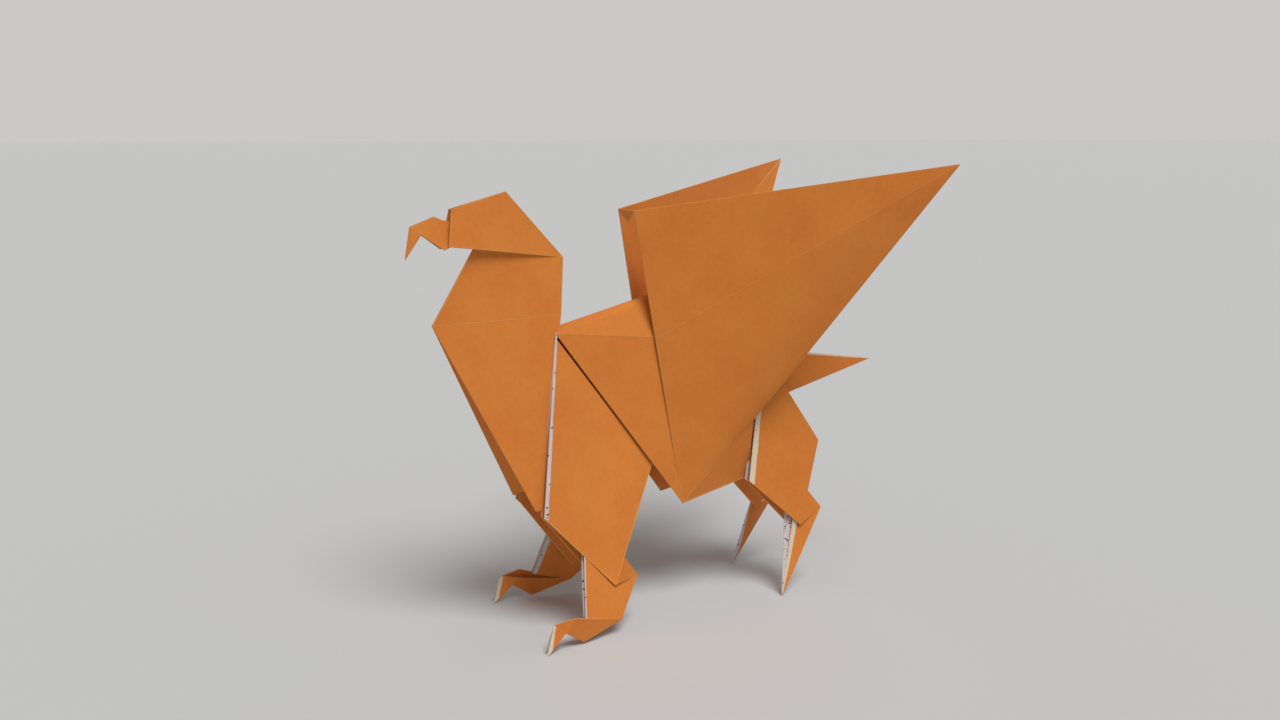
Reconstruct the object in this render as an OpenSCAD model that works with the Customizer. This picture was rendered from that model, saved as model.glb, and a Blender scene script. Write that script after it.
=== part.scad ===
// Origami griffin, folded from one square sheet of thin paper.
// The figure faces -X and stands on z = 0. Its two sides mirror each other across y = 0.
// A corner is [distance behind the front toes, half width, height], in millimetres.

/* [Paper] */
// Thickness of one layer of paper
paper_t = 0.1; // [0.08:0.01:0.14]
// Layers in the thin flaps: wings, hood, beak, tail and feet
flap_layers = 2; // [2:1:3]
// Layers in the folds that carry the figure: neck, back, flanks and legs
body_layers = 3; // [2:1:4]
// Thickness of a crease that was opened again, as a multiple of its leaf
crease_swell = 1.4; // [1.2:0.05:1.6]

/* [Back and flanks] */
// Distance of the withers behind the front toes
withers_x = 9.5; // [7:0.5:12]
// Height of the withers
withers_h = 62; // [58:0.5:66]
// Length of the back ridge
back_l = 33.5; // [30:0.5:38]
// Rise of the back ridge towards the rear, in degrees
back_rise = 14; // [8:1:20]
// Half width of the body at the shoulders
shoulder_w = 2.5; // [2:0.1:3.2]
// Drop from the withers to the front of the side crease
shoulder_drop = 1; // [0.5:0.1:2]
// Length of the crease between back and flank
crease_l = 36.5; // [34:0.5:39]
// Fall of that crease towards the rear, in degrees
crease_fall = 5.5; // [2:0.5:8]
// Half width of the body at the rear end of the crease
crease_w = 4.1; // [3.6:0.1:5]
// Distance of the belly corners behind the front toes
belly_x = 36; // [33:0.5:39]
// Half width of the body at the belly corners
belly_w = 5; // [4.6:0.1:6]
// Height of the belly corners
belly_h = 23; // [20:0.5:26]
// Distance of the rump corners behind the front toes
rump_x = 53; // [50:0.5:56]
// Half width of the body at the rump corners
rump_w = 4; // [3.4:0.1:4.4]
// Height of the rump corners
rump_h = 26.5; // [24:0.5:29]

/* [Neck and chest] */
// Height of the nape
nape_h = 76; // [73:0.5:80]
// Distance that the nape lies behind the withers
nape_back = 1.5; // [0:0.5:4]
// Distance of the breast point ahead of the front toes
breast_reach = 16; // [12:0.5:20]
// Height of the breast point
breast_h = 64; // [61:0.5:67]
// Length of the throat, from the breast point up to the hood
throat_l = 16.5; // [14:0.5:19]
// Steepness of the throat, in degrees
throat_pitch = 59; // [52:1:66]
// Length of the neck's end inside the hood
neck_tuck_l = 5; // [3:0.5:6]
// Share of the line from the nape down to the withers at which the neck's crease ends
neck_crease_share = 0.82; // [0.75:0.01:0.9]
// Half width of the neck where its crease reaches the back
neck_w = 1.5; // [1:0.1:2]
// Distance of the chest tips behind the front toes
chest_x = 2; // [0:0.5:4]
// Half width of the chest at its tips
chest_w = 6.2; // [5:0.2:7]
// Height of the chest tips
chest_h = 26.5; // [24:0.5:30]
// Length of the cut edge at a chest tip
chest_tip_l = 1.2; // [0.6:0.2:2]
// Share of the chest's rear edge that is joined to the withers
neck_root_share = 0.4; // [0.3:0.05:0.5]
// Share of the chest's depth that its folded front edge reaches down
keel_share = 0.9; // [0.8:0.02:0.96]

/* [Head] */
// Length of the hood from the nape up to the crown
hood_l = 17.5; // [15:0.5:20]
// Slope of the hood from the nape up to the crown, in degrees
hood_pitch = 48; // [40:1:56]
// Length of the forehead from the crown to the brow
forehead_l = 11.5; // [10:0.5:14]
// Slope of the forehead down to the brow, in degrees
forehead_pitch = 15.5; // [8:0.5:24]
// Height of the hood's front edge from the brow down to the jaw
face_h = 6.8; // [5.5:0.1:8]
// Lean of that front edge, in degrees
face_lean = 9; // [4:1:15]
// Half width of the hood's open front at the brow
brow_w = 0.8; // [0.4:0.1:1.2]
// Half width of the hood's open front at the jaw
hood_flare = 2.2; // [1.6:0.1:3]
// Length of the beak's ridge from the brow to the bend
beak_l = 8.5; // [7:0.5:10]
// Slope of the beak's ridge, in degrees
beak_pitch = 20.5; // [14:0.5:28]
// Half width of the beak at its lower edge
beak_w = 1.3; // [0.9:0.1:1.8]
// Drop of the beak's lower rear corners below the jaw
gape_drop = 0.7; // [0.4:0.1:1.2]
// Share of the beak's lower edge, from the bend, at which the notch lies
notch_share = 0.33; // [0.25:0.01:0.4]
// Dip of the pleat that sets the beak off from the hood
pleat_dip = 1.3; // [0.8:0.1:2]
// Share of the beak's ridge, from the brow, at which the pleat is deepest
pleat_share = 0.22; // [0.16:0.01:0.3]
// Share of the beak's ridge, from the brow, at which the pleat ends
pleat_end_share = 0.42; // [0.36:0.01:0.5]
// Length of the hooked tip below the bend
hook_l = 6.1; // [5:0.1:7.5]
// Lean of the hooked tip, in degrees
hook_lean = 10; // [4:1:16]

/* [Wings] */
// Distance of the wings' top corners behind the front toes
wing_x = 25.2; // [23:0.2:28]
// Half width between the wings' top corners
wing_w = 3.6; // [3:0.2:4.4]
// Height of the wings' top corners
wing_h = 84.8; // [80:0.2:90]
// Length of a wing's top edge
wing_l = 65.5; // [58:0.5:72]
// Spread of a wing from the middle plane, in degrees
wing_spread = 25.8; // [16:0.2:34]
// Rise of a wing's top edge, in degrees
wing_rise = 8; // [2:0.5:14]
// Opening between the two leaves of a wing
wing_gape = 0.5; // [0.3:0.1:0.8]
// Share of a wing's lower half that its inner leaf covers
wing_inner_share = 0.28; // [0.2:0.01:0.4]
// Depth of the pleat between the wings' top corners
wing_pleat_h = 2.5; // [1.5:0.1:4]
// Distance behind the front toes of the corner where a wing leaves the body
hinge_x = 51; // [48:0.5:53]
// Half width at that corner
hinge_w = 7.8; // [6.6:0.2:9]
// Height of that corner
hinge_h = 39.5; // [37:0.5:42]
// Share of the rump's rear edge that the gusset under a wing reaches up
gusset_share = 0.5; // [0.3:0.05:0.6]

/* [Tail] */
// Distance of the tail tip behind the front toes
tail_x = 88; // [80:0.5:96]
// Height of the tail tip
tail_h = 49; // [46:0.5:52]
// Length of the tail outside the rump
tail_l = 32; // [28:0.5:35]
// Rise from the tail tip to the top of its root
tail_rise = 4.8; // [3:0.2:7]
// Depth of the tail at its root
tail_root = 13.2; // [11:0.2:15]
// Half width of the open edge at the root of the tail
tail_gape = 0.9; // [0.5:0.1:1.4]

/* [Front legs] */
// Share of the flank's lower edge that the thigh reaches along
thigh_share = 0.755; // [0.65:0.005:0.85]
// Distance that the outer leaf of a leg is tucked in
leg_tuck = 0.9; // [0.7:0.1:1.1]
// Share of the way to the rear end of the side crease that the thigh's root reaches
thigh_root_share = 0.25; // [0.15:0.05:0.35]
// Distance of the thigh's front corner behind the front toes
thigh_x = 3.2; // [1:0.2:5]
// Half width at the thigh's front corner
thigh_w = 7.9; // [7:0.1:9]
// Height of the thigh's front corner
thigh_h = 25.2; // [22:0.2:28]
// Distance of the knee behind the front toes
knee_x = 17.2; // [15:0.2:20]
// Half width at the knee
knee_w = 10.8; // [10:0.2:11.4]
// Height of the knee
knee_h = 10; // [8:0.2:12]
// Reach of the knee's fold behind the knee
knee_fold = 6.2; // [5:0.2:7.4]
// Distance that the knee's fold stands above the knee
knee_fold_rise = 0.2; // [0:0.1:1]
// Share of the thigh's rear edge above the knee's fold
knee_fold_share = 0.78; // [0.7:0.01:0.86]
// Distance that a leg's inner leaf shows below its outer leaf
leaf_step = 2; // [1:0.2:3]
// Opening between the two leaves of a leg along the cut front edge
leg_gape = 1.8; // [1.2:0.1:2.4]
// Opening between the two leaves of a shin at its top
shin_gape = 1.4; // [1:0.1:1.8]
// Share of the thigh's lower edge ahead of the shin
shin_share = 0.58; // [0.5:0.01:0.66]
// Share of a foot's top edge ahead of the shin
ankle_share = 0.24; // [0.16:0.01:0.34]
// Half of the distance between the tips of the front toes
foot_w = 15; // [13.4:0.2:16.6]
// Turn of the front feet outwards, in degrees
foot_turn = 7.5; // [4:0.5:11]
// Length of a foot from toe to heel
foot_l = 17.5; // [16:0.5:19]
// Height of the heel
heel_h = 3.2; // [2.6:0.2:4]
// Distance of the instep behind the toe
instep_x = 6.3; // [5.6:0.1:7]
// Height of the instep
instep_h = 6.4; // [5.6:0.2:7.6]
// Distance of the notch above the toe behind the toe's tip
foot_notch_x = 4.3; // [3.8:0.1:4.8]
// Height of that notch
foot_notch_h = 3.8; // [3.4:0.1:4.2]
// Distance of the toe's upper corner behind the toe's tip
toe_top_x = 2; // [1.5:0.1:2.6]
// Height of the toe's upper corner
toe_top_h = 5.7; // [5:0.1:6.2]
// Height of the ball of the foot
sole_h = 0.6; // [0.4:0.1:1.2]
// Opening between the two walls of a foot at its instep
foot_gape = 1.8; // [1.2:0.1:2.4]
// Opening between the two walls at the tip of a toe
toe_gape = 1.6; // [1:0.1:2]

/* [Hind legs] */
// Distance of the hind thigh's front corner behind the front toes
hind_thigh_x = 51.4; // [49:0.2:54]
// Half width at the hind thigh's front corner
hind_thigh_w = 7; // [6.4:0.1:7.6]
// Height of the hind thigh's front corner
hind_thigh_h = 26.2; // [24:0.2:29]
// Distance of the hind thigh's rear corner behind the front toes
haunch_x = 69.2; // [66:0.2:72]
// Height of the hind thigh's rear corner
haunch_h = 33.2; // [30:0.2:36]
// Distance of the hind knee behind the front toes
hind_knee_x = 63.8; // [61:0.2:66]
// Half width at the hind knee
hind_knee_w = 8.6; // [7.8:0.2:9.4]
// Height of the hind knee
hind_knee_h = 15; // [13:0.2:17]
// Reach of the hind knee's fold behind the knee
hind_knee_fold = 5.3; // [3.5:0.1:7]
// Distance that the hind knee's fold stands above the knee
hind_knee_fold_rise = 3.3; // [2:0.1:4.5]
// Share of the hind thigh's rear edge above the knee's fold
hind_fold_share = 0.6; // [0.5:0.02:0.7]
// Share of the hind thigh's lower edge ahead of the shin's outer leaf
hind_shin_share = 0.92; // [0.84:0.01:0.95]
// Share of the hind thigh's lower edge ahead of the shin's inner leaf
hind_shin_in_share = 0.84; // [0.76:0.01:0.88]
// Distance of the hind toes behind the front toes
hind_toe_x = 58; // [55:0.5:61]
// Half of the distance between the hind toes
hind_toe_w = 10.7; // [9.5:0.1:12]

/* [Hidden] */

paper_colour = "#C87F33";
// Facets round a soft edge
edge_facets = 6;
// Flat steps that a bent panel is drawn in
bend_steps = 6;

function mix(a, b, share) = a + (b - a) * share;
function middle(a, b) = (a + b) / 2;
function rearward(length, rise) = length * [cos(rise), 0, sin(rise)];
function forward(length, fall) = -length * [cos(fall), 0, sin(fall)];
function down(length, lean) = -length * [sin(lean), 0, cos(lean)];
function out(width) = [0, width, 0];
function up(height) = [0, 0, height];
function at_width(corner, width) = [corner.x, width, corner.z];

// Point of a bent panel at its shares along and across, raised square to the panel
function bent_corner(from, to, along, across, rise) =
    let (
        start = mix(from[0], from[1], along),
        end = mix(to[0], to[1], along),
        run = mix(from[1] - from[0], to[1] - to[0], across),
        normal = cross(run, end - start)
    )
    mix(start, end, across) + normal * rise / norm(normal);

// Corner at (x, z) in the flat leaf through three corners
function in_leaf(corners, x, z) =
    let (
        start = corners[0],
        normal = cross(corners[1] - start, corners[2] - start)
    )
    [x, start.y - (normal.x * (x - start.x) + normal.z * (z - start.z)) / normal.y, z];

// Corner in the middle plane of a front foot
function foot_corner(x, height) = [x, foot_w - x * tan(foot_turn), height];

// Back and flanks
withers = [withers_x, 0, withers_h];
back_peak = withers + rearward(back_l, back_rise);
shoulder = withers + [-shoulder_drop, shoulder_w, -shoulder_drop];
crease_end = at_width(shoulder + rearward(crease_l, -crease_fall), crease_w);
belly = [belly_x, belly_w, belly_h];
rump = [rump_x, rump_w, rump_h];

// Tail and hips
tail_tip = [tail_x, 0, tail_h];
tail_top = [tail_x - tail_l, tail_gape, tail_h + tail_rise];
tail_low = [tail_x - tail_l, 0, tail_h + tail_rise - tail_root];
hip = at_width(tail_top, crease_w);

// Neck and chest
nape = withers + [nape_back, 0, nape_h - withers_h];
breast = [-breast_reach, 0, breast_h];
throat = breast + rearward(throat_l, throat_pitch);
throat_end = throat + rearward(neck_tuck_l, throat_pitch);
neck_back = at_width(mix(nape, withers, neck_crease_share), neck_w);
chest_tip = [chest_x, chest_w, chest_h];
chest_rear = chest_tip + [chest_tip_l, 0, 0];
neck_root = mix(neck_back, chest_rear, neck_root_share);
keel = mix(breast, [withers_x, 0, chest_h], keel_share);

// Head
crown = nape + forward(hood_l, -hood_pitch);
brow_ridge = crown + forward(forehead_l, forehead_pitch);
brow = at_width(brow_ridge, brow_w);
jaw = at_width(brow_ridge + down(face_h, face_lean), hood_flare);
bend = brow_ridge + forward(beak_l, beak_pitch);
beak_top = mix(brow_ridge, bend, pleat_end_share);
hook_tip = bend + down(hook_l, hook_lean);
gape = at_width(jaw - [gape_drop, 0, gape_drop], beak_w);
notch = mix(bend, gape, notch_share);
pleat = mix(brow_ridge, bend, pleat_share) - up(pleat_dip);

// Wings
wing_top = [wing_x, wing_w, wing_h];
wing_run = wing_l * cos(wing_rise);
wing_reach = wing_run * [cos(wing_spread), sin(wing_spread), tan(wing_rise)];
wing_tip = wing_top + wing_reach;
wing_bisector = wing_l / (wing_l + norm(belly - wing_tip));
wing_mid = mix(wing_top, belly, wing_bisector);
wing_mid_in = wing_mid - out(flap_layers * paper_t);
wing_pleat = at_width(mix(wing_top, belly, wing_pleat_h / norm(belly - wing_top)), 0);
hinge = [hinge_x, hinge_w, hinge_h];
wing_inner = mix(wing_mid, hinge, wing_inner_share) - out(wing_gape);
gusset = mix(rump, hip, gusset_share);

// Front legs: the outer leaf of the thigh is tucked under the flank
thigh_top = shoulder - out(flap_layers * paper_t);
thigh_rear = mix(shoulder, belly, thigh_share) - out(leg_tuck);
thigh_root = mix(middle(thigh_top, thigh_rear), crease_end, thigh_root_share) - out(leg_tuck);
thigh_front = [thigh_x, thigh_w, thigh_h];
knee = [knee_x, knee_w, knee_h];
knee_top = mix(thigh_rear, knee, knee_fold_share);
thigh_front_in = thigh_front - out(leg_gape);
knee_in = knee - [leaf_step / 2, leg_gape, leaf_step];

// Front feet: the inner wall of a foot runs straight from the toe to the heel, without an instep
toe = foot_corner(0, 0);
toe_top = foot_corner(toe_top_x, toe_top_h);
sole = foot_corner(foot_l / 2, sole_h);
heel = foot_corner(foot_l, heel_h);
instep = foot_corner(instep_x, instep_h) + out(foot_gape / 2);
instep_in = mix(toe_top, heel, (instep_x - toe_top_x) / (foot_l - toe_top_x)) - out(foot_gape / 2);

// Shins: each leaf lies against a wall of the foot, and the knee's fold reaches in to the outer one
shin_top = mix(thigh_front, knee, shin_share) + up(leaf_step) - out(leg_tuck);
shin_top_in = shin_top - out(shin_gape);
shin_front = mix(instep - out(flap_layers * paper_t), heel, ankle_share);
shin_front_in = at_width(shin_front, mix(instep_in, heel, ankle_share).y + flap_layers * paper_t);
knee_rear = in_leaf([shin_top, shin_front, heel], knee.x + knee_fold, knee.z + knee_fold_rise);

// Hind legs
hind_front = [hind_thigh_x, hind_thigh_w, hind_thigh_h];
hind_knee = [hind_knee_x, hind_knee_w, hind_knee_h];
haunch = in_leaf([hip, hind_front, hind_knee], haunch_x, haunch_h);
hind_knee_top = mix(haunch, hind_knee, hind_fold_share);
hind_knee_rear = hind_knee + [hind_knee_fold, 0, hind_knee_fold_rise];
hind_front_in = hind_front - out(leg_gape);
hind_knee_in = hind_knee - [leaf_step / 2, leg_gape, leaf_step / 2];
hind_shin_top = mix(hind_front, hind_knee, hind_shin_share) + up(leaf_step) - out(leg_tuck);
hind_shin_in = mix(hind_front_in, hind_knee_in, hind_shin_in_share) + up(leaf_step);
hind_shin_knee = hind_knee - out(leg_tuck);
hind_toe = [hind_toe_x, hind_toe_w, 0];

// The front toes are at x = 0 until the whole figure is centred on its length
middle_x = middle(hook_tip, tail_tip).x;

// A flat leaf of folded paper with soft edges, between its corners
module leaf(corners, layers) {
    hull()
        for (corner = corners)
            translate(corner)
                sphere(d = layers * paper_t, $fn = edge_facets);
}

// A panel that bends gently from the edge between the first two corners to that between the others
module bent_leaf(from, to, layers) {
    steps = [0 : bend_steps];
    strips = [0 : bend_steps - 1];
    row = bend_steps + 1;
    under = row * row;
    last = bend_steps * row;
    points = [
        for (side = [0.5, -0.5], along = steps, across = steps)
            bent_corner(from, to, along / bend_steps, across / bend_steps, side * layers * paper_t)
    ];
    top = [
        for (i = strips, j = strips)
            let (k = i * row + j)
            each [[k, k + 1, k + row], [k + 1, k + row + 1, k + row]]
    ];
    bottom = [for (face = top) [face[2] + under, face[1] + under, face[0] + under]];
    first_edge = [for (j = strips) [j, j + under, j + 1 + under, j + 1]];
    last_edge = [for (j = strips) [last + j, last + j + 1, last + j + 1 + under, last + j + under]];
    from_edge = [for (i = strips) let (k = i * row) [k, k + row, k + row + under, k + under]];
    to_edge = [for (i = strips) let (k = i * row + bend_steps) [k, k + under, k + row + under, k + row]];
    polyhedron(points, concat(top, bottom, first_edge, last_edge, from_edge, to_edge));
    crease(from[0], from[1], layers);
    crease(to[0], to[1], layers);
    crease(from[0], to[0], layers);
    crease(from[1], to[1], layers);
}

// The raised line of a crease that was opened again
module crease(from, to, layers) {
    leaf([from, to], layers * crease_swell);
}

module both_sides() {
    children();
    mirror([0, 1, 0])
        children();
}

module back() {
    leaf([withers, back_peak, crease_end], body_layers);
    leaf([withers, crease_end, shoulder], body_layers);
    leaf([back_peak, tail_top, crease_end], body_layers);
    leaf([tail_top, hip, crease_end], body_layers);
}

module flank() {
    leaf([shoulder, crease_end, belly], body_layers);
    crease(shoulder, crease_end, body_layers);
    leaf([crease_end, rump, belly], body_layers);
    leaf([crease_end, hip, rump], body_layers);
}

module wing() {
    leaf([wing_top, wing_tip, wing_mid], flap_layers);
    bent_leaf([wing_mid, wing_tip], [belly, hinge], flap_layers);
    leaf([wing_top, wing_tip, wing_mid_in], flap_layers);
    leaf([wing_mid_in, wing_tip, wing_inner], flap_layers);
    leaf([wing_top, at_width(wing_top, 0), wing_pleat], flap_layers);
    leaf([belly, hinge, rump], flap_layers);
    leaf([hinge, gusset, rump], flap_layers);
}

module neck() {
    bent_leaf([breast, neck_back], [throat, nape], body_layers);
    leaf([breast, neck_back, chest_rear, chest_tip], body_layers);
    leaf([breast, chest_tip, keel], flap_layers);
    leaf([neck_back, withers, neck_root], flap_layers);
}

// The end of the neck inside the hood, which lies in the middle plane
module neck_end() {
    leaf([throat, throat_end, nape], body_layers);
}

module head() {
    bent_leaf([brow, crown], [jaw, nape], flap_layers);
    leaf([bend, beak_top, gape], flap_layers);
    leaf([beak_top, pleat, gape], flap_layers);
    leaf([pleat, throat_end, gape], flap_layers);
    leaf([bend, notch, hook_tip], flap_layers);
}

module tail() {
    leaf([tail_tip, tail_top, tail_low], flap_layers);
}

module front_leg() {
    leaf([thigh_top, thigh_root, thigh_rear], body_layers);
    bent_leaf([thigh_top, thigh_rear], [thigh_front, knee], body_layers);
    bent_leaf([thigh_top, thigh_rear], [thigh_front_in, knee_in], body_layers);
    leaf([knee_top, knee_rear, knee], body_layers);
    leaf([shin_top, knee_rear, heel, shin_front], body_layers);
    leaf([shin_top_in, knee_rear, shin_front_in], body_layers);
    leaf([knee_rear, heel, shin_front_in], body_layers);
    foot_wall(instep, toe + out(toe_gape / 2));
    foot_wall(instep_in, toe - out(toe_gape / 2));
}

// One wall of a front foot: its side, and the toe that is folded down from it at the notch
module foot_wall(top, tip) {
    foot_notch = in_leaf([top, heel, sole], foot_notch_x, foot_notch_h);
    leaf([top, heel, sole, foot_notch], flap_layers);
    leaf([top, foot_notch, toe_top], flap_layers);
    leaf([foot_notch, toe_top, tip], flap_layers);
}

module hind_leg() {
    leaf([hip, haunch, hind_knee, hind_front], body_layers);
    leaf([hip, haunch, hind_front_in], body_layers);
    leaf([haunch, hind_knee_in, hind_front_in], body_layers);
    leaf([hind_knee_top, hind_knee_rear, hind_knee], body_layers);
    leaf([hind_shin_top, hind_shin_knee, hind_toe], body_layers);
    leaf([hind_shin_knee, hind_knee_rear, hind_toe], body_layers);
    leaf([hind_shin_in, hind_shin_knee, hind_toe], body_layers);
}

module folded_sheet() {
    color(paper_colour)
        difference() {
            translate([-middle_x, 0, 0]) {
                neck_end();
                both_sides() {
                    back();
                    flank();
                    wing();
                    neck();
                    head();
                    tail();
                    front_leg();
                    hind_leg();
                }
            }
            // The four toes are flattened where they stand
            translate([0, 0, -tail_x])
                cube(2 * tail_x, center = true);
        }
}

folded_sheet();
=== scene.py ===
import math

import bmesh
import bpy
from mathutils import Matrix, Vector
from mathutils.bvhtree import BVHTree


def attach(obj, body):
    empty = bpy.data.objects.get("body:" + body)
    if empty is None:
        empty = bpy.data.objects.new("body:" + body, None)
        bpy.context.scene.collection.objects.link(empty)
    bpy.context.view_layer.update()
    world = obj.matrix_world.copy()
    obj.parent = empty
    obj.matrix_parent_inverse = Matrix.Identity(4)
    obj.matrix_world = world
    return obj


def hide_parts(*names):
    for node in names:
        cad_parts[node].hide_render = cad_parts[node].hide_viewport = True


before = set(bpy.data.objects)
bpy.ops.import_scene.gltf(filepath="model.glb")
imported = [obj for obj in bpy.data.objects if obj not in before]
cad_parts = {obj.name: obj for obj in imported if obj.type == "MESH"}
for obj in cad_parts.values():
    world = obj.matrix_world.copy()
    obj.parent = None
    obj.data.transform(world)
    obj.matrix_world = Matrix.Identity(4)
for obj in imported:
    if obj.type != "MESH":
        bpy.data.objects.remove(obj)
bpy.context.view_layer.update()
mm = 0.001
sides = (1, -1)  # the figure's two sides, by the sign of y


# Colours are written as sRGB hex values, and this is the standard's curve to linear ones
def toLinear(hexCode):
    channels = [int(hexCode[i:i + 2], 16) / 255 for i in (1, 3, 5)]
    return [c / 12.92 if c <= 0.04045 else ((c + 0.055) / 1.055) ** 2.4 for c in channels] + [1.0]


# One node with its settings; an input that is another node's socket becomes a link
def addNode(tree, kind, settings=None, inputs=None):
    node = tree.nodes.new(kind)
    for name, value in (settings or {}).items():
        setattr(node, name, value)
    for name, value in (inputs or {}).items():
        if isinstance(value, bpy.types.NodeSocket):
            tree.links.new(value, node.inputs[name])
        else:
            node.inputs[name].default_value = value
    return node


# Mix nodes go by socket number: the share, two values, two colours, and the colour that comes out
mixShare, mixValueA, mixValueB, mixColourA, mixColourB, mixedColour = 0, 2, 3, 6, 7, 2


def pickOnly(piece):
    bpy.ops.object.select_all(action="DESELECT")
    bpy.context.view_layer.objects.active = piece
    piece.select_set(True)


# Gives the active piece a modifier with its settings, and applies it
def applyModifier(piece, kind, settings):
    bpy.ops.object.modifier_add(type=kind)
    modifier = piece.modifiers[-1]
    for name, value in settings.items():
        setattr(modifier, name, value)
    bpy.ops.object.modifier_apply(modifier=modifier.name)


# Turns all faces of the active piece outwards
def turnOutward():
    bpy.ops.object.mode_set(mode="EDIT")
    bpy.ops.mesh.select_all(action="SELECT")
    bpy.ops.mesh.normals_make_consistent(inside=False)
    bpy.ops.object.mode_set(mode="OBJECT")


# A point [x, z] of the side view, put on the middle plane
def onProfile(point):
    return Vector((point[0], 0, point[1]))


# The direction square to a line of the side view
def squareTo(start, end):
    return Vector((end.z - start.z, 0, start.x - end.x)).normalized()


# Thin uncoated paper: matt all over, with a little cloudiness from the sheet's making,
# a fine tooth from its fibres and the long shallow waves of a sheet that was folded by hand
paperSurface = {
    "roughness": 0.82,
    "ior": 1.5,
    "patterns": {  # mm across one cloud, fleck, wave or fibre, layers of finer ones, and their strength
        "cloud": {"size": 11, "layers": 3, "finer": 0.55},
        "mottle": {"size": 0.9, "layers": 2, "finer": 0.6},  # drawn coarser than real so that it shows
        "wave": {"size": 17, "layers": 1, "finer": 0.5},
        "fibre": {"size": 0.4, "layers": 3, "finer": 0.5},  # drawn coarser than real so that it shows
    },
    "mottleShare": 0.35,         # of flecks in the colour, beside clouds
    "colourSpan": (0.32, 0.68),  # of their pattern, from the dark colour to the light one
    "waveHeight": 0.55,          # mm
    "fibreHeight": 0.006,        # mm
}

# Sheet dyed orange on one side: the dye sits in the fibres, so it stays matt and turns redder where it
# lights itself in the folds
dyedPaper = {"name": "orange dyed paper", "light": "#DA8431", "dark": "#D17526"}

# Narrow strips along the folds, drawn a lighter orange than the dyed paper
lighterFold = {"name": "lighter fold of dyed paper", "light": "#D99A4D", "dark": "#D18538"}

# The undyed reverse: an off-white drawn greyer and cooler than the bare sheet, so that it paints in part the
# shade of the pockets it lies in, with stray specks of dye, whose size and gaps are in mm
reverseWithPaintedShade = {"name": "undyed paper reverse in painted shade", "light": "#DAD2D0", "dark": "#C8BDBD",
               "speck": "#3A100E", "speckSize": 0.42, "speckGap": 1.0, "speckShare": 0.5}

# The reverse inside the hind shins, where the dye has bled through in a row of small spots; like the plain
# reverse it is drawn greyer and cooler than the bare sheet, which paints in part the shade inside the shins
bledReverseWithPaintedShade = {"name": "bled-dye paper reverse in painted shade", "light": "#D7CECC", "dark": "#C6B9BA",
               "speck": "#4A1413", "speckSize": 0.36, "speckGap": 0.62, "speckShare": 0.8}

# The cut edge of the sheet: cream, a little yellowed
cutEdge = {"name": "cut paper edge", "light": "#E2D7C2", "dark": "#D7C7A8",
           "speck": "#3A100E", "speckSize": 0.36, "speckGap": 1.3, "speckShare": 0.4}

# Undyed margins along cut edges: the border runs between two points [x, z] in mm,
# and the dye ends on the side that the third point marks
margins = {
    "thigh": {"look": reverseWithPaintedShade, "from": (-24.9, 61.0), "to": (-29.7, 25.2), "bare": (-31.0, 30.0)},
    "shin": {"look": reverseWithPaintedShade, "from": (-20.0, 18.4), "to": (-22.4, 5.6), "bare": (-25.0, 10.0)},
    "shinInner": {"look": reverseWithPaintedShade, "from": (-21.5, 18.4), "to": (-23.9, 5.6), "bare": (-25.0, 10.0)},
    "toe": {"look": cutEdge, "from": (-31.2, 5.7), "to": (-32.8, 0.0), "bare": (-33.6, 2.0)},
    "hindThigh": {"look": cutEdge, "from": (23.4, 54.0), "to": (19.0, 26.2), "bare": (17.8, 26.2)},
    "hindThighInner": {"look": reverseWithPaintedShade, "from": (22.9, 53.8), "to": (18.35, 26.2), "bare": (17.0, 26.2)},
    "hindShin": {"look": cutEdge, "from": (30.7, 17.9), "to": (24.8, 0.0), "bare": (24.4, 4.0)},
    "hindShinInner": {"look": reverseWithPaintedShade, "from": (27.2, 17.95), "to": (25.7, 0.0), "bare": (24.0, 4.0)},
    "tail": {"look": cutEdge, "from": (22.4, 53.4), "to": (54.4, 48.9), "bare": (40.0, 55.0)},
}
marginEdge = {
    "soft": 0.3,         # mm of blur
    "stray": 0.35,       # mm that the border wanders
    "strayLength": 3.5,  # mm between wanders
    "strayLayers": 2,
}


# Clouds and flecks of colour, and stray specks of dye on the bare paper
def paperColour(tree, place, noise, look):
    pattern = addNode(tree, "ShaderNodeMix", {"data_type": "FLOAT"}, {
        mixShare: paperSurface["mottleShare"], mixValueA: noise["cloud"], mixValueB: noise["mottle"]})
    darkest, lightest = paperSurface["colourSpan"]
    tone = addNode(tree, "ShaderNodeMapRange", {}, {
        "Value": pattern.outputs[0], "From Min": darkest, "From Max": lightest})
    colour = addNode(tree, "ShaderNodeMix", {"data_type": "RGBA"}, {
        mixShare: tone.outputs[0], mixColourA: toLinear(look["dark"]), mixColourB: toLinear(look["light"])})
    if "speck" not in look:
        return colour.outputs[mixedColour]
    dots = addNode(tree, "ShaderNodeTexVoronoi", {"feature": "F1"}, {
        "Vector": place, "Scale": 1 / (look["speckGap"] * mm)})
    small = addNode(tree, "ShaderNodeMath", {"operation": "LESS_THAN"}, {
        0: dots.outputs["Distance"], 1: look["speckSize"] / 2 / look["speckGap"]})
    drawn = addNode(tree, "ShaderNodeSeparateColor", {}, {0: dots.outputs["Color"]})
    some = addNode(tree, "ShaderNodeMath", {"operation": "LESS_THAN"}, {
        0: drawn.outputs[0], 1: look["speckShare"]})
    specks = addNode(tree, "ShaderNodeMath", {"operation": "MULTIPLY"}, {
        0: small.outputs[0], 1: some.outputs[0]})
    return addNode(tree, "ShaderNodeMix", {"data_type": "RGBA"}, {
        mixShare: specks.outputs[0], mixColourA: colour.outputs[mixedColour],
        mixColourB: toLinear(look["speck"])}).outputs[mixedColour]


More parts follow.
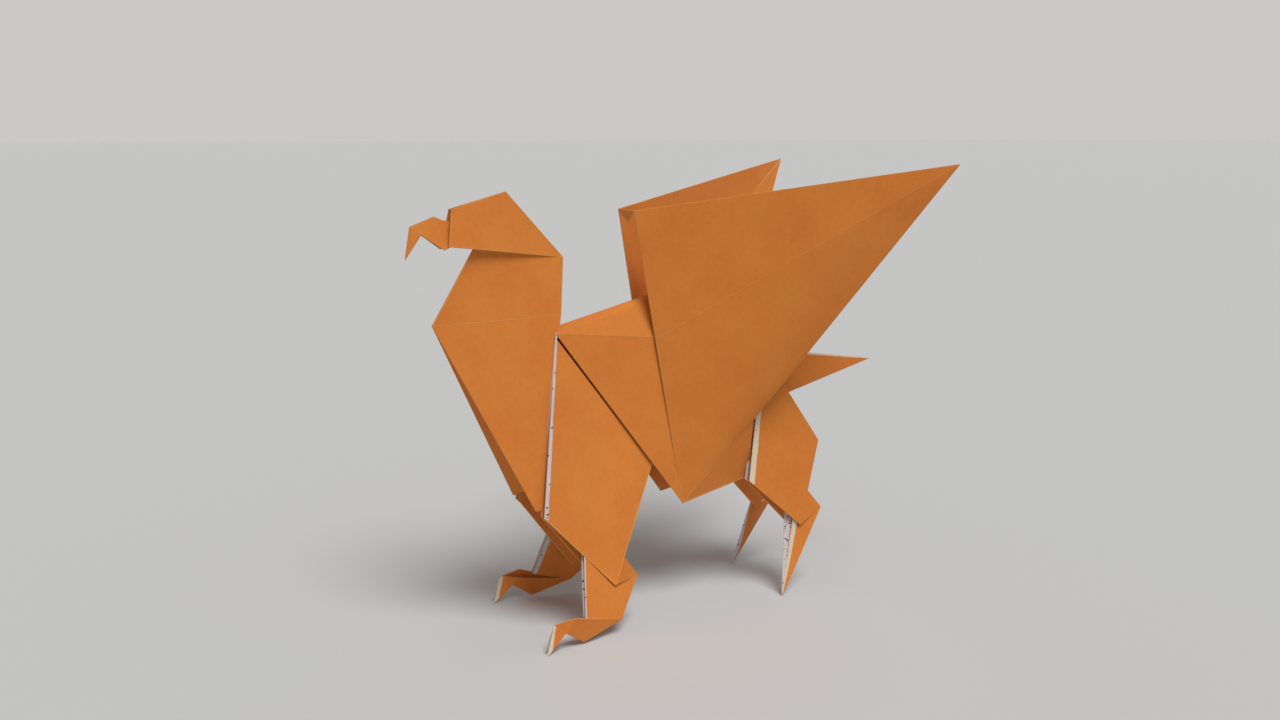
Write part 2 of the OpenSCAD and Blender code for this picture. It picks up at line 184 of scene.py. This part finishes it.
# Undyed margin along a cut edge, with a soft and slightly wandering border
def colourWithMargin(tree, place, noise, dyedColour, margin):
    start, end, bare = (onProfile(margin[key]) * mm for key in ("from", "to", "bare"))
    across = squareTo(start, end)
    if across.dot(bare - start) > 0:
        across = -across
    stray = addNode(tree, "ShaderNodeTexNoise", {}, {
        "Vector": place, "Scale": 1 / (marginEdge["strayLength"] * mm), "Detail": marginEdge["strayLayers"]})
    depth = addNode(tree, "ShaderNodeVectorMath", {"operation": "DOT_PRODUCT"}, {0: place, 1: across})
    shift = addNode(tree, "ShaderNodeMath", {"operation": "MULTIPLY_ADD"}, {
        0: stray.outputs[0], 1: marginEdge["stray"] * mm, 2: depth.outputs["Value"]})
    border = across.dot(start) + marginEdge["stray"] / 2 * mm
    blur = marginEdge["soft"] / 2 * mm
    dyed = addNode(tree, "ShaderNodeMapRange", {"interpolation_type": "SMOOTHSTEP"}, {
        "Value": shift.outputs[0], "From Min": border - blur, "From Max": border + blur})
    bareColour = paperColour(tree, place, noise, margin["look"])
    return addNode(tree, "ShaderNodeMix", {"data_type": "RGBA"}, {
        mixShare: dyed.outputs[0], mixColourA: bareColour, mixColourB: dyedColour}).outputs[mixedColour]


def paperMaterial(look, margin=None):
    material = bpy.data.materials.new(look["name"] if margin is None else look["name"] + ", " + margin)
    material.use_nodes = True
    tree = material.node_tree
    shader = tree.nodes["Principled BSDF"]
    shader.inputs["Roughness"].default_value = paperSurface["roughness"]
    shader.inputs["IOR"].default_value = paperSurface["ior"]
    place = addNode(tree, "ShaderNodeTexCoord").outputs["Object"]
    noise = {}
    for name, pattern in paperSurface["patterns"].items():
        noise[name] = addNode(tree, "ShaderNodeTexNoise", {}, {
            "Vector": place, "Scale": 1 / (pattern["size"] * mm),
            "Detail": pattern["layers"], "Roughness": pattern["finer"]}).outputs[0]
    colour = paperColour(tree, place, noise, look)
    if margin is not None:
        colour = colourWithMargin(tree, place, noise, colour, margins[margin])
    tree.links.new(colour, shader.inputs["Base Color"])

    # long waves of the handled sheet, and its fibres
    waves = addNode(tree, "ShaderNodeBump", {}, {
        "Strength": 1, "Distance": paperSurface["waveHeight"] * mm, "Height": noise["wave"]})
    tooth = addNode(tree, "ShaderNodeBump", {}, {
        "Strength": 1, "Distance": paperSurface["fibreHeight"] * mm, "Height": noise["fibre"],
        "Normal": waves.outputs[0]})
    tree.links.new(tooth.outputs[0], shader.inputs["Normal"])
    return material


# The folded sheet: the CAD solid's own mesh, merged, with its faces told apart by listed places
sheet = {
    "merge": 0.002,       # mm within which the CAD mesh's loose corners are one
    "soft": 8,            # degrees: bends flatter than this shade smoothly, and folds stay crisp
    "leafWeight": 90,     # of 100: large leaves keep their own direction up to the folds
    "foldWidth": 0.25,    # mm: flat strips narrower than this are folds and edges
    "flat": 1.5,          # degrees within which neighbouring faces are one flat strip
    "edgeReach": 0.5,     # mm round a cut edge that its strips lie in
    "spread": 3,          # degrees between neighbouring faces that belong to the leaf at a picked place
}

# Cut edges of the sheet, from corner to corner in mm, on the side where y is positive
cutEdges = {
    "reverse": {
        "thighOuter": ((-25.1, 2.3, 61.0), (-29.9, 7.4, 28.6)),
        "shinOuter": ((-22.3, 8.7, 18.4), (-24.6, 14.3, 5.6)),
        "shinInner": ((-22.3, 7.3, 18.4), (-24.6, 13.3, 5.6)),
        "hindThighInner": ((22.4, 4.1, 53.8), (17.8, 5.2, 26.2)),
        "hindShinInner": ((26.9, 7.2, 15.0), (24.4, 10.7, 0.0)),
    },
    "edge": {
        "toeOuter": ((-31.6, 14.7, 5.7), (-33.6, 15.8, 0.0)),
        "toeInner": ((-31.6, 14.7, 5.7), (-33.6, 14.2, 0.0)),
        "hindThighOuter": ((22.4, 4.1, 53.8), (17.8, 7.0, 26.2)),
        "hindShinOuter": ((28.6, 8.0, 15.5), (24.4, 10.7, 0.0)),
        "tail": ((22.4, 0.9, 53.8), (54.4, 0.0, 49.0)),
        "wingInner": ((50.0, 31.8, 93.9), (2.1, 4.7, 53.3)),
    },
}

# Places in mm, on the side where y is positive, on the leaves that show the undyed reverse or a margin of it
barePlaces = {
    "reverse": [(-31.5, 14.4, 3.2), (-31.5, 15.0, 3.2)],
    "bled": [(26.4, 9.0, 9.0)],
    "thigh": [(-29.0, 7.7, 28.0)],
    "shin": [(-21.0, 10.5, 11.0), (-21.0, 11.0, 11.0)],
    "shinInner": [(-21.0, 9.9, 11.0)],
    "toe": [(-31.5, 15.5, 3.2), (-31.5, 13.9, 3.2)],
    "hindThigh": [(27.5, 7.8, 24.5)],
    "hindThighInner": [(25.3, 5.6, 37.7)],
    "hindShin": [(27.9, 9.0, 11.0)],
    "hindShinInner": [(26.4, 8.1, 9.0)],
    "tail": [(33.1, 0.8, 47.8), (30.0, 0.1, 50.0)],
}

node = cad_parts["folded_sheet"]
paper = bpy.data.objects.new("griffinPaper", node.data.copy())
bpy.context.scene.collection.objects.link(paper)
pickOnly(paper)
bpy.ops.object.mode_set(mode="EDIT")
bpy.ops.mesh.select_all(action="SELECT")
bpy.ops.mesh.remove_doubles(threshold=sheet["merge"] * mm)
bpy.ops.object.mode_set(mode="OBJECT")
print("sheet merged:", len(paper.data.polygons), "faces")

# The thigh's upper edge stands a little off the flank, so a dark gap shows between them:
# it runs down between two points [x, z] in mm, and narrows on the way
thighGap = {
    "from": (-24.7, 60.4),
    "to": (-6.0, 34.6),
    "wide": 0.5,          # mm at the top
    "narrow": 0.15,       # mm at the bottom
    "inset": 0.1,         # mm from the line to the gap
    "depth": (1.0, 5.5),  # mm from the middle plane
}
gapTop, gapBottom = onProfile(thighGap["from"]), onProfile(thighGap["to"])
forward = squareTo(gapTop, gapBottom)  # away from the flank
inner, outer = thighGap["depth"]
for side in sides:
    bpy.ops.object.select_all(action="DESELECT")
    bpy.ops.mesh.primitive_cube_add(size=1)
    gap = bpy.context.object
    for vertex in gap.data.vertices:
        along, across, deep = (v + 0.5 for v in vertex.co)  # from 0 to 1 through the cube
        width = thighGap["wide"] + (thighGap["narrow"] - thighGap["wide"]) * along
        corner = gapTop.lerp(gapBottom, along) + forward * (thighGap["inset"] + width * across)
        corner.y = side * (inner + (outer - inner) * deep)
        vertex.co = corner * mm
    turnOutward()
    pickOnly(paper)
    applyModifier(paper, "BOOLEAN", {"operation": "DIFFERENCE", "solver": "EXACT", "object": gap})
    bpy.data.objects.remove(gap)
print("thigh gaps cut:", len(paper.data.polygons), "faces")

bpy.ops.object.shade_smooth_by_angle(angle=math.radians(sheet["soft"]))
applyModifier(paper, "WEIGHTED_NORMAL", {"weight": sheet["leafWeight"], "keep_sharp": True})

paper.data.materials.clear()
plainLooks = {
    "dyed": dyedPaper,
    "fold": lighterFold,
    "reverse": reverseWithPaintedShade,
    "bled": bledReverseWithPaintedShade,
    "edge": cutEdge,
}
for look in plainLooks.values():
    paper.data.materials.append(paperMaterial(look))
for margin in margins:
    paper.data.materials.append(paperMaterial(dyedPaper, margin))
slots = list(plainLooks) + list(margins)
print("paper materials made:", len(slots))


# The kind of cut edge that a point lies on, or a fold where it lies on none
def edgeKind(point):
    point = Vector((point.x, abs(point.y), point.z)) / mm
    for kind, lines in cutEdges.items():
        for start, end in lines.values():
            run = Vector(end) - Vector(start)
            share = min(max((point - Vector(start)).dot(run) / run.length_squared, 0), 1)
            if (Vector(start) + run * share - point).length < sheet["edgeReach"]:
                return kind
    return "fold"


# Faces that lie in one flat strip, from neighbour to neighbour
def flatStrips(shape):
    limit = math.cos(math.radians(sheet["flat"]))
    seen = set()
    for first in shape.faces:
        if first in seen:
            continue
        seen.add(first)
        strip = [first]
        for face in strip:
            for edge in face.edges:
                for other in edge.link_faces:
                    if other not in seen and other.normal.dot(face.normal) > limit:
                        seen.add(other)
                        strip.append(other)
        yield strip


shape = bmesh.new()
shape.from_mesh(paper.data)
for strip in flatStrips(shape):
    members = set(strip)
    area = sum(face.calc_area() for face in strip)
    rim = sum(edge.calc_length() for face in strip for edge in face.edges
              if not all(other in members for other in edge.link_faces))
    if rim and 2 * area / rim < sheet["foldWidth"] * mm:  # a long strip's width
        centre = sum((face.calc_center_median() for face in strip), Vector()) / len(strip)
        for face in strip:
            face.material_index = slots.index(edgeKind(centre))
shape.to_mesh(paper.data)
shape.free()
print("folds and cut edges marked")

corners = [vertex.co for vertex in paper.data.vertices]
faceTree = BVHTree.FromPolygons(corners, [polygon.vertices for polygon in paper.data.polygons])


# Picks the face nearest to a place, on both sides of the figure, and what is flat with it
def paintFlat(places, kind):
    for x, y, z in places:
        for side in sides:
            index = faceTree.find_nearest(Vector((x, y * side, z)) * mm)[2]
            for polygon in paper.data.polygons:
                polygon.select = polygon.index == index
            bpy.ops.object.mode_set(mode="EDIT")
            bpy.ops.mesh.faces_select_linked_flat(sharpness=math.radians(sheet["spread"]))
            paper.active_material_index = slots.index(kind)
            bpy.ops.object.material_slot_assign()
            bpy.ops.object.mode_set(mode="OBJECT")


bpy.ops.object.mode_set(mode="EDIT")
bpy.ops.mesh.select_mode(type="FACE")
bpy.ops.mesh.select_all(action="DESELECT")
bpy.ops.object.mode_set(mode="OBJECT")
for kind, places in barePlaces.items():
    paintFlat(places, kind)
print("reverse and margins marked")

# The back between its ridge and the side crease turns from flat in front to steep at the rear,
# so each side of it is one panel, from edge to edge in mm, bent over between the shoulder and the peak
backPanel = {
    "ridge": ((-24.1, 0.0, 62.0), (8.4, 0.0, 70.1)),
    "crease": ((-25.1, 2.5, 61.0), (11.2, 4.1, 57.5)),
    "steps": 17,
    "thick": 0.36,         # mm
    "bend": 0.85,          # share of a sharp bend
}
withers, peak = (Vector(corner) for corner in backPanel["ridge"])
shoulder, creaseEnd = (Vector(corner) for corner in backPanel["crease"])
steps = backPanel["steps"]
panels = []
for side in sides:
    bpy.ops.object.select_all(action="DESELECT")
    bpy.ops.mesh.primitive_grid_add(x_subdivisions=steps, y_subdivisions=steps, size=1)
    panel = bpy.context.object
    panel.name = "backPanel"
    for vertex in panel.data.vertices:
        along, across = vertex.co.x + 0.5, vertex.co.y + 0.5  # from 0 to 1 over the grid
        twisted = withers.lerp(peak, along).lerp(shoulder.lerp(creaseEnd, along), across)
        if along + across < 1:
            bent = withers + (peak - withers) * along + (shoulder - withers) * across
        else:
            bent = creaseEnd + (shoulder - creaseEnd) * (1 - along) + (peak - creaseEnd) * (1 - across)
        x, y, z = twisted.lerp(bent, backPanel["bend"]) * mm
        vertex.co = (x, y * side, z)
    applyModifier(panel, "SOLIDIFY", {"thickness": backPanel["thick"] * mm, "offset": 0})
    turnOutward()
    bpy.ops.object.shade_smooth_by_angle(angle=math.radians(sheet["soft"]))
    panel.data.materials.append(paper.data.materials[slots.index("dyed")])
    panels.append(panel)
pickOnly(paper)
for panel in panels:
    panel.select_set(True)
bpy.ops.object.join()
print("back panels joined:", len(paper.data.polygons), "faces")

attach(paper, "root")
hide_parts("folded_sheet")

# A pale table, far wider than the view, in metres
stage = {"colour": "#CCCECF", "size": 30.0, "roughness": 0.7}
bpy.ops.object.select_all(action="DESELECT")
bpy.ops.mesh.primitive_plane_add(size=stage["size"], location=(0, 0, 0))
table = bpy.context.object
table.name = "table"
tableTop = bpy.data.materials.new("pale table top")
tableTop.use_nodes = True
tableShader = tableTop.node_tree.nodes["Principled BSDF"]
tableShader.inputs["Base Color"].default_value = toLinear(stage["colour"])
tableShader.inputs["Roughness"].default_value = stage["roughness"]
table.data.materials.append(tableTop)

# One broad soft lamp above the near side: strength in W/m2, spread in degrees
lamp = {"from": (0.0, -1.3, 2.2), "strength": 2.3, "spread": 30}
bpy.ops.object.light_add(type="SUN", location=lamp["from"])
light = bpy.context.object
light.name = "ceiling"
light.data.energy = lamp["strength"]
light.data.angle = math.radians(lamp["spread"])
light.rotation_euler = (-Vector(lamp["from"])).to_track_quat("-Z", "Y").to_euler()

# The room's light is even, and the camera sees a pale wall in it, in the colour as written
room = {"light": "#EAE2DC", "level": 0.32, "wall": "#CAC9C7", "wallLevel": 1.0}
world = bpy.data.worlds.new("room")
bpy.context.scene.world = world
world.use_nodes = True
air = world.node_tree
glow = air.nodes["Background"]
glow.inputs["Color"].default_value = toLinear(room["light"])
glow.inputs["Strength"].default_value = room["level"]
rays = addNode(air, "ShaderNodeLightPath")
plainView = rays.outputs["Is Camera Ray"]
for ray in ("Is Glossy Ray", "Is Transmission Ray"):
    plainView = addNode(air, "ShaderNodeMath", {"operation": "MAXIMUM"}, {
        0: plainView, 1: rays.outputs[ray]}).outputs[0]
wall = addNode(air, "ShaderNodeBackground", {}, {
    "Color": toLinear(room["wall"]), "Strength": room["wallLevel"]})
either = addNode(air, "ShaderNodeMixShader", {}, {0: plainView, 1: glow.outputs[0], 2: wall.outputs[0]})
air.links.new(either.outputs[0], air.nodes["World Output"].inputs["Surface"])

# The photograph's view: mm and degrees
view = {"at": (-116.1, -216.2, 100.0), "down": 10.8, "turn": -27.14, "lens": 33.38, "nearest": 10}
bpy.ops.object.camera_add(location=[v * mm for v in view["at"]],
                          rotation=(math.radians(90 - view["down"]), 0, math.radians(view["turn"])))
camera = bpy.context.object
camera.data.lens = view["lens"]
camera.data.clip_start = view["nearest"] * mm
bpy.context.scene.camera = camera
bpy.context.scene.view_settings.view_transform = "Standard"
print("table, lamp and camera set")
